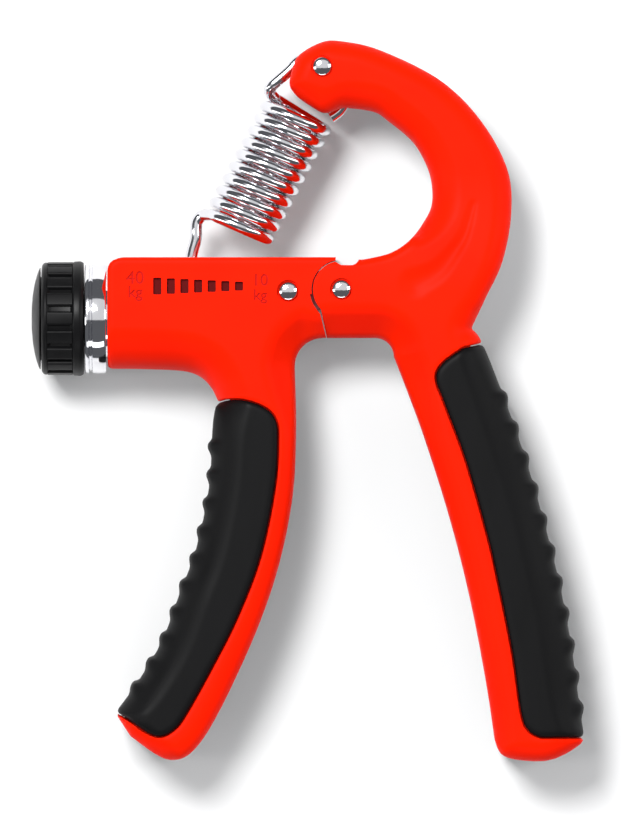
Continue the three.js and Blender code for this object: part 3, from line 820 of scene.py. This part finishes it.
@dataclass
class RightHandle(Handle):
    """The red handle with the C arm.

    Attributes:
        arm_half: Half the C arm's depth at its tip.
        arch: Height of the arch's crown.
        rivet: Where the spring's rivet is.
        spring_angle: Direction of the spring in degrees.
    """

    arm_half: float = 10.5
    arch: float = ARCH_Y
    rivet: Pair = SPRING_RIVET
    spring_angle: float = math.degrees(SPRING_ANGLE)

    def build(self) -> None:
        """Makes the plastic body with its arm, and the rubber grip."""
        h = handle_y
        arm_outer = spline([(27.9, -8.4), (31.1, -1.6), (34.6, 6), (36.5, 16.3), (35.6, 26), (29.8, 36.5),
                            (21, 45.1), (8.3, 51.4), (0.2, 53.3), (-4.3, 53.1), (-9.4, 50), (-11, 45.5)], 60)
        tip = soften([(-11, 45.5), (-11.2, 44.4), (-11, 43.5)], 0.6)
        arm_inner = spline([(-11, 43.5), (-9.4, 41.5), (-6.7, 39.6), (-4.3, 38.2), (-2.8, 38.1), (-1.6, 38.4),
                            (0.4, 39), (2.5, 39), (7.2, 38.2), (9.8, 36.5), (15, 32.2), (17.8, 27.9),
                            (19.3, 23.6), (19.5, 18.6), (18, 15), (14.8, 10.7), (10.5, 7.8), (4.7, 6.4)], 80)
        arch = [(-8, self.arch)] + arc(7.3, self.arch - 4, 4, 90, 0, 12)
        inner = spline([(13.3, h(0.03)), (18, h(0.182)), (23.4, h(0.387)), (27.7, h(0.59)), (31.1, h(0.8)),
                        (33, h(0.95))], 40)
        foot = spline([(33, h(0.95)), (34.3, h(0.985)), (38, h(1)), (45, h(1)), (51.3, h(0.96)), (52, h(0.93))], 16)
        outer = spline([(52, h(0.93)), (51.1, h(0.856)), (49.2, h(0.694)), (46.6, h(0.535)), (43.4, h(0.385)),
                        (39.7, h(0.235)), (35.4, h(0.088)), (30.3, -11.5), (27.9, -8.4)], 48)
        m = Mould((-13, -103.5, -13.4), (54.5, 55, 13.4), 0.45)
        hub = [(4.7, 6.4), (-8, 6.4), (-8, self.arch)]
        plan = outline_distance(arm_outer + tip + arm_inner + hub + arch + inner + foot + outer, m.x, m.y)
        radius = edge_blend(m.x, m.y, [(arm_outer[6:], 4.4), (tip, 3.0), (arm_inner[:24], 5.2),
                                       (arm_inner[24:70], 6.8), (arm_inner[70:] + hub[:2], 1.6), (arch, 1.2),
                                       (inner, 1.8), (foot, 4.5), (outer[:-6], 7.4), (outer[-6:], 5.5)])
        half = self.half - (self.half - self.arm_half) * smoothstep(0, 25, m.y) + 0 * m.x
        slab = m.rounded_slab(plan, half, radius)
        width = 3.0 + 3.0 * smoothstep(-36, -15, m.y) + 0 * m.x
        whole = smooth_max(slab, self.slopes(m, arch + inner, width), 1.3)
        whole = whole + self.dent(m)[:, :, None] * smoothstep(5, 8, np.abs(m.z))
        rubber_inner = spline([(42.8, h(0.9417)), (40.2, h(0.925)), (38.6, h(0.88)), (36.7, h(0.726)),
                               (33.4, h(0.532)), (31.3, h(0.425)), (26.8, h(0.238)), (22.3, h(0.094)),
                               (20.3, h(0.026)), (21.7, -15.9), (26.2, -12.6)], 60)
        region = outline_distance(rubber_inner + [(30.4, -11.7), (60, -11.7), (60, h(0.9417))], m.x, m.y)
        ribs = rib_profile(outer, m.x, m.y, 11, 0.06, 0.82)
        rubber, plastic = self.split(whole, ribs, region, m)
        grip = m.skin("right_grip_rubber", rubber)
        dress(grip, MATERIALS["rubber"])
        issue(grip, "right_handle", ["right_grip"])
        body = m.skin("right_body", plastic)
        dress(body, MATERIALS["red"])
        cut(body, self.openings())
        body.visible_diffuse = False
        issue(body, "right_handle", ["right_handle"])

    @staticmethod
    def dent(mould: Mould) -> np.ndarray:
        """Depth of the drop-shaped hollow pressed into the shoulder, at every place in the plane."""
        line = spline([(15.8, 1.4), (20.4, 3.8), (23.6, 7.4), (26.4, 11.8), (28.3, 18.4)], 80)
        depth = np.zeros(np.broadcast(mould.x, mould.y).shape)
        for i, (cx, cy) in enumerate(line):
            radius = 3.0 - 2.3 * (i / (len(line) - 1)) ** 0.8
            near = np.hypot(mould.x - cx, mould.y - cy) / radius
            depth = np.maximum(depth, 0.6 * min(1, radius / 1.5) * (1 - smoothstep(0.1, 1.3, near)))
        return depth

    def openings(self) -> list[bpy.types.Object]:
        """Makes the shapes of the hub's edge, the hinge's fork, the tip's slot and the holes.

        Returns:
            The tools, in the order that they cut.
        """
        hub = [(-12, 12), (-12, -18), (-2.6, -18), (-3.1, self.arch)] + arc(0, 0, 6.1, 224, 103, 40)
        hub += [(-0.6, 5.5), (0, 5.2), (2.4, 5.2), (3.1, 5.5), (3.7, 6.2), (4, 12)]
        tools = [prism("hub_side", hub, -16, 16), prism("fork", arc(0, 0, 4.8, 0, 352, 44), -2.3, 2.3),
                 box("fork_side", (-8.4, 2.5), (-8.2, 4.8), (-2.3, 2.3))]
        for swing in (-10, 0, 16):
            turn = Matrix.Rotation(math.radians(self.spring_angle + swing), 2)
            shape = arc(-4.1, -0.5, 8.9, -90, 90, 24) + [(-17, 8.4), (-17, -9.4)]
            moved = [tuple(turn @ Vector(p) + Vector(self.rivet)) for p in shape]
            tools.append(prism("tip_slot", moved, -2.1, 2.1))
        return tools + [rivet_hole(0, 0, self.half), rivet_hole(*self.rivet, self.arm_half)]


# --------------------------------------------------------------------------------------------- hardware
@dataclass
class Rivets:
    """The three domed rivets.

    Attributes:
        head: Radius of the domed head.
        rise: Height of the dome.
        shank: Radius of the shank.
    """

    head: float = 2.05
    rise: float = 0.9
    shank: float = 1.4

    def build(self) -> None:
        """Makes each rivet where its handle's recess is."""
        for name, body, (x, y), face in (("pivot_rivet", "left_handle", (0, 0), 12.5),
                                         ("plate_rivet", "left_handle", (-11.4, -0.4), 12.5),
                                         ("spring_rivet", "right_handle", (-4.1, 47.8), 10.5)):
            front, back = face - 0.7, -face + 0.8
            dome = [(self.head * math.cos(a), front + 0.2 + (self.rise - 0.2) * math.sin(a))
                    for a in np.linspace(0, math.pi / 2 - 0.05, 9)]
            profile = [(0, back - 0.7), (1.1, back - 0.72), (1.65, back - 0.68), (self.head, back - 0.3),
                       (self.shank, back - 0.3), (self.shank, front), (self.head, front)]
            rivet = turned(name + "_domed", profile + dome + [(0, front + self.rise)], Axis.FRONT, (x, y, 0), 48)
            dress(rivet, MATERIALS["chrome"])
            issue(rivet, body, [name])


@dataclass
class KnobEnd:
    """Collar, knob and cap round the screw.

    Attributes:
        axis_y: Height of the screw's axis.
        lugs: How many lugs the knob has.
        knob_radius: Radius over the lugs.
        groove: Depth of the grooves between them.
    """

    axis_y: float = SCREW_Y
    lugs: int = 18
    knob_radius: float = 12.15
    groove: float = 0.75

    def build(self) -> None:
        """Makes the collar, the knob with its lugs and the domed cap."""
        at = (0, self.axis_y, 0)
        collar = [(2.2, -55.1), (11.4, -55.1), (11.75, -54.95), (11.9, -54.6), (11.9, -54.25), (11.4, -54.0),
                  (11.4, -53.65), (11.9, -53.4), (11.95, -52.4), (11.9, -50.9), (11.7, -50.5), (8.4, -50.5),
                  (8.4, -47.8), (6.4, -47.8), (6.4, -52.5), (2.2, -52.5)]
        ring = turned("collar_plated", collar, Axis.KNOB, at, 128)
        dress(ring, MATERIALS["chrome"])
        issue(ring, "left_handle", ["collar"])
        r, low = self.knob_radius, self.knob_radius - self.groove
        knob = soften([(2.8, -55.4), (2.8, -60.7), (9.3, -60.7), (9.3, -64.4), (11.4, -64.4), (12.0, -63.9),
                       (12.1, -63.2), (low, -62.6), (low, -57.9), (r + 0.1, -57.6), (r + 0.2, -56.0),
                       (r - 0.2, -55.4)], 0.35, 3)
        shell = turned("knob_shell", knob, Axis.KNOB, at, 128)
        dress(shell, MATERIALS["knob"])
        issue(shell, "knob", ["knob"])
        self.ring_of_lugs()
        cap = [(0, -66.6), (2.5, -66.55), (5, -66.35), (7.4, -65.95), (9.2, -65.48), (10.3, -65.1), (10.85, -64.85),
               (10.9, -64.7), (9, -64.7), (9, -63.0), (7.8, -63.0), (7.8, -64.7), (0, -64.7)]
        dome = turned("knob_cap_domed", cap, Axis.KNOB, at, 96)
        dress(dome, MATERIALS["knob"])
        issue(dome, "knob", ["knob_cap"])

    def ring_of_lugs(self) -> None:
        """Sets the lugs round the knob with a node tree, whose inputs are their count and their axis."""
        half = math.pi * self.knob_radius / self.lugs - 0.55
        low, high = self.knob_radius - self.groove - 0.3, self.knob_radius
        side = soften([(0, low), (-half, low), (-half + 0.15, high), (half - 0.15, high), (half, low), (0, low)], 0.45)
        n = len(side)
        vertices = [(x, y, z) for x in (-63.1, -57.75) for y, z in side]
        faces = [(i, (i + 1) % n, n + (i + 1) % n, n + i) for i in range(n)]
        lug = mesh_object("knob_lugs", np.array(vertices) - np.array(HINGE) / MM,
                          faces + [tuple(range(n))[::-1], tuple(range(n, 2 * n))])
        tree = bpy.data.node_groups.new("ring_of_lugs", "GeometryNodeTree")
        face = tree.interface
        face.new_socket("Geometry", in_out="INPUT", socket_type="NodeSocketGeometry")
        count = face.new_socket("Count", in_out="INPUT", socket_type="NodeSocketInt")
        axis = face.new_socket("Axis", in_out="INPUT", socket_type="NodeSocketVector")
        finish = face.new_socket("Finish", in_out="INPUT", socket_type="NodeSocketMaterial")
        face.new_socket("Geometry", in_out="OUTPUT", socket_type="NodeSocketGeometry")
        given = add(tree, "NodeGroupInput")
        points = add(tree, "GeometryNodePoints", links={"Count": given.outputs["Count"]})
        index = add(tree, "GeometryNodeInputIndex")
        part = add(tree, "ShaderNodeMath", {"operation": "DIVIDE"}, {0: index.outputs[0], 1: given.outputs["Count"]})
        turn = add(tree, "ShaderNodeMath", {"operation": "MULTIPLY", 1: math.tau}, {0: part.outputs[0]})
        spin = add(tree, "ShaderNodeCombineXYZ", links={"X": turn.outputs[0]})
        copies = add(tree, "GeometryNodeInstanceOnPoints", links={
            "Points": points.outputs[0], "Instance": given.outputs["Geometry"], "Rotation": spin.outputs[0]})
        moved = add(tree, "GeometryNodeTransform", links={
            "Geometry": copies.outputs[0], "Translation": given.outputs["Axis"]})
        real = add(tree, "GeometryNodeRealizeInstances", links={"Geometry": moved.outputs[0]})
        dressed = add(tree, "GeometryNodeSetMaterial", links={
            "Geometry": real.outputs[0], "Material": given.outputs["Finish"]})
        add(tree, "NodeGroupOutput", links={0: dressed.outputs[0]})
        values = {count.identifier: self.lugs, axis.identifier: HINGE + Vector((0, self.axis_y, 0)) * MM,
                  finish.identifier: MATERIALS["knob"]}
        issue(grow(lug, tree, values), "knob", [])


def grow(piece: bpy.types.Object, tree: bpy.types.NodeTree, values: dict) -> bpy.types.Object:
    """Runs a node tree on a piece and keeps the result as its plain mesh.

    Args:
        piece: The piece.
        tree: The node tree.
        values: The tree's inputs by identifier.

    Returns:
        The piece.
    """
    step = piece.modifiers.new("tree", "NODES")
    step.node_group = tree
    for identifier, value in values.items():
        step[identifier] = value
    graph = bpy.context.evaluated_depsgraph_get()
    mesh = bpy.data.meshes.new_from_object(piece.evaluated_get(graph))
    piece.modifiers.clear()
    piece.data = mesh
    tidy(mesh)
    mesh.shade_smooth()
    mesh.set_sharp_from_angle(angle=math.radians(40))
    return piece


@dataclass
class Spring:
    """The extension spring, one wire from its hook to its loop.

    Attributes:
        pin: The lower pin.
        angle: Direction from the pin to the upper rivet, in radians.
        span: Distance between the two.
        wire: Radius of the wire.
        mean: Radius of the coils at the wire's middle.
        start: Where the coils start along the axis.
        length: Length of the coils.
        turns: How many there are.
    """

    pin: Pair = PIN
    angle: float = SPRING_ANGLE
    span: float = math.dist(PIN, SPRING_RIVET)
    wire: float = 1.28
    mean: float = 6.85
    start: float = 13.5
    length: float = 29.1
    turns: float = 10

    def place(self, along: float, across: float, z: float = 0.0) -> tuple[float, float, float]:
        """Turns a place on the spring's own axis into one from the hinge."""
        c, s = math.cos(self.angle), math.sin(self.angle)
        return self.pin[0] + along * c - across * s, self.pin[1] + along * s + across * c, z

    def helix(self, first: float, last: float, per_turn: int = 40) -> list[tuple[float, float, float]]:
        """Runs along the coils.

        Args:
            first: Turn to start from.
            last: Turn to end at.
            per_turn: How many points each turn has.

        Returns:
            Places along, across and in front of the axis.
        """
        count = max(2, round((last - first) * per_turn))
        out = []
        for turn in np.linspace(first, last, count + 1):
            a = math.tau * turn
            along = self.start + self.length * turn / self.turns
            out.append((along, self.mean * math.cos(a), self.mean * math.sin(a)))
        return out

    def build(self) -> None:
        """Makes the hook, the coils and the loop, each logged with the bodies that it joins."""
        eye = arc(0, 0, 2.65, 338, 118, 12)
        lead = [(2.4, 5, 0), (4.2, 6.1, 0), (7.6, 6.9, 0), (9.8, 8, 0), (11.3, 8.4, 0), (12.8, 7.8, 0.4)]
        hook = spline([(a, c, 0) for a, c in eye] + lead + self.helix(0.08, 0.25, 24), 90)
        hook += self.helix(0.25, 0.6)[1:]
        coils = self.helix(0.6, self.turns - 1.5)
        ring = [(a, c, 0) for a, c in arc(self.span - 4.1, -1.0, self.mean, 84, -101, 30)]
        loop = self.helix(self.turns - 1.5, self.turns - 0.1)
        end = self.helix(self.turns - 0.1, self.turns - 0.06)
        top = self.start + self.length
        loop += spline(end + [(top + 0.4, 7.6, -0.9), (top + 1.7, 7.75, 0), (top + 4, 6.9, 0)] + ring
                       + [(top + 3.4, -7.5, 0), (top + 1.6, -6.6, 0)], 130)[2:]
        parts = (("spring_hook_wire", hook, "spring_hook", "spring_coil_lower", 3, 13, ["spring_hook"]),
                 ("spring_coils", coils, "spring_coil_lower", "spring_coil_upper", self.start + 1.5,
                  self.start + self.length - 4, ["spring_coil_lower", "spring_coil_upper"]),
                 ("spring_loop_wire", loop, "spring_coil_upper", "spring_loop", self.start + self.length - 4,
                  self.start + self.length + 2, ["spring_loop"]))
        for name, path, low, high, first, last, nodes in parts:
            piece = self.draw(name, [self.place(*p) for p in path])
            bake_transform(piece)
            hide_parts(*nodes)
            LOG.info("%s: %d faces, from %s to %s", name, len(piece.data.polygons), low, high)

    def draw(self, name: str, path: list[tuple[float, float, float]]) -> bpy.types.Object:
        """Sweeps the wire along a path with a node tree, whose inputs are its radius and its finish.

        Args:
            name: Name of the piece.
            path: The path's points.

        Returns:
            The piece.
        """
        mesh = bpy.data.meshes.new(name)
        mesh.from_pydata(to_frame(path).tolist(), [(i, i + 1) for i in range(len(path) - 1)], [])
        piece = bpy.data.objects.new(name, mesh)
        bpy.context.scene.collection.objects.link(piece)
        tree = bpy.data.node_groups.new("wire", "GeometryNodeTree")
        face = tree.interface
        face.new_socket("Geometry", in_out="INPUT", socket_type="NodeSocketGeometry")
        radius = face.new_socket("Radius", in_out="INPUT", socket_type="NodeSocketFloat")
        finish = face.new_socket("Finish", in_out="INPUT", socket_type="NodeSocketMaterial")
        face.new_socket("Geometry", in_out="OUTPUT", socket_type="NodeSocketGeometry")
        given = add(tree, "NodeGroupInput")
        line = add(tree, "GeometryNodeMeshToCurve", links={0: given.outputs["Geometry"]})
        ring = add(tree, "GeometryNodeCurvePrimitiveCircle", {"Resolution": 16}, {"Radius": given.outputs["Radius"]})
        tube = add(tree, "GeometryNodeCurveToMesh", {"Fill Caps": True}, {"Curve": line.outputs[0],
                                                                          "Profile Curve": ring.outputs[0]})
        real = add(tree, "GeometryNodeRealizeInstances", links={0: tube.outputs[0]})
        dressed = add(tree, "GeometryNodeSetMaterial", links={
            "Geometry": real.outputs[0], "Material": given.outputs["Finish"]})
        add(tree, "NodeGroupOutput", links={0: dressed.outputs[0]})
        return grow(piece, tree, {radius.identifier: self.wire * MM, finish.identifier: MATERIALS["wire"]})


@dataclass
class Fittings:
    """The frame's own small pieces, whose shapes stay and whose finishes are made here."""

    def dress(self) -> None:
        """Gives each small piece its finish."""
        rows = {
            "steel": ["hinge_plate", "plate_rivet_washer", "pivot_rivet_washer", "spring_rivet_washer", "spring_pin",
                      "lead_screw", "inner_thrust_washer", "retaining_clip", "knob_screw", "knob_screw_washer"],
            "brass": ["screw_bush", "carriage_nut"],
            "acetal": ["carriage", "outer_thrust_washer"],
        }
        for finish, nodes in rows.items():
            for node in nodes:
                piece = frame["nodes"][node]
                for place in piece.material_slots:
                    place.material = MATERIALS[finish]
                LOG.info("%s: %s", node, finish)


# ---------------------------------------------------------------------------------------------- studio
@dataclass
class Studio:
    """Floor, light and camera.

    Attributes:
        aim: Middle of the view, in millimetres from the hinge.
        height: Height of the view there.
        distance: From the camera to the middle of the object.
    """

    aim: tuple[float, float] = (-4.58, -27.05)
    height: float = 178.7
    distance: float = 4.0

    def build(self) -> None:
        """Makes the floor, the lamps, the surroundings and the camera."""
        bpy.context.scene.view_settings.view_transform = "Standard"
        centre = HINGE + Vector((*self.aim, 0)) * MM
        mesh = bpy.data.meshes.new("floor")
        side, low = 3.0, -0.0002
        mesh.from_pydata([(-side, -side, low), (side, -side, low), (side, side, low), (-side, side, low)], [],
                         [(0, 1, 2, 3)])
        floor = bpy.data.objects.new("floor", mesh)
        bpy.context.scene.collection.objects.link(floor)
        paper = Finish("matt_white_card", "#F6F6F6", "#F4F4F4", 60, 2, 0.002, (0.8, 0.9))
        dress(floor, paper.build())
        for name, place, size, power in (("key", (-0.42, 0.6, 1.4), (0.5, 0.5), 22),
                                         ("overhead", (0.0, 0.45, 1.25), (2.0, 1.1), 4.5),
                                         ("right", (1.1, 0.25, 0.7), (0.4, 1.2), 6),
                                         ("left", (-1.1, -0.1, 0.6), (0.3, 1.2), 4),
                                         ("foot", (0.0, -1.2, 0.8), (1.2, 0.3), 3)):
            lamp = bpy.data.lights.new(name, "AREA")
            lamp.shape, lamp.size, lamp.size_y, lamp.energy = "RECTANGLE", *size, power
            holder = bpy.data.objects.new(name, lamp)
            bpy.context.scene.collection.objects.link(holder)
            holder.location = centre + Vector(place)
            holder.visible_camera = False
            holder.rotation_euler = (centre - holder.location).to_track_quat("-Z", "Y").to_euler()
        world = bpy.data.worlds.new("surroundings")
        bpy.context.scene.world = world
        world.use_nodes = True
        world.node_tree.nodes["Background"].inputs["Color"].default_value = (0.9, 0.93, 1.0, 1)
        world.node_tree.nodes["Background"].inputs["Strength"].default_value = 0.12
        lens = bpy.data.cameras.new("camera")
        lens.sensor_fit, lens.sensor_height = "VERTICAL", 24
        lens.lens = 24 * self.distance / (self.height * MM)
        camera = bpy.data.objects.new("camera", lens)
        bpy.context.scene.collection.objects.link(camera)
        camera.location = centre + Vector((0, 0, self.distance))
        bpy.context.scene.camera = camera


MATERIALS = {
    "red": RED_ABS.build(), "bar": BAR_FLOOR_PAINTED_SHADE.build(), "deboss": DEBOSS_PAINTED_SHADE.build(), "rubber": GRIP_RUBBER.build(),
    "knob": KNOB_ABS.build(), "wire": WIRE_CHROME.build(), "chrome": PLATE_CHROME.build(),
    "steel": ZINC_STEEL.build(), "brass": TURNED_BRASS.build(), "acetal": ACETAL.build(),
}


def main() -> None:
    """Builds every piece and reports each one in the log."""
    logging.basicConfig(level=logging.INFO, format="%(name)s %(message)s")
    Studio().build()
    LeftHandle().build()
    RightHandle().build()
    Rivets().build()
    KnobEnd().build()
    Spring().build()
    Fittings().dress()


if __name__ == "__main__":
    main()
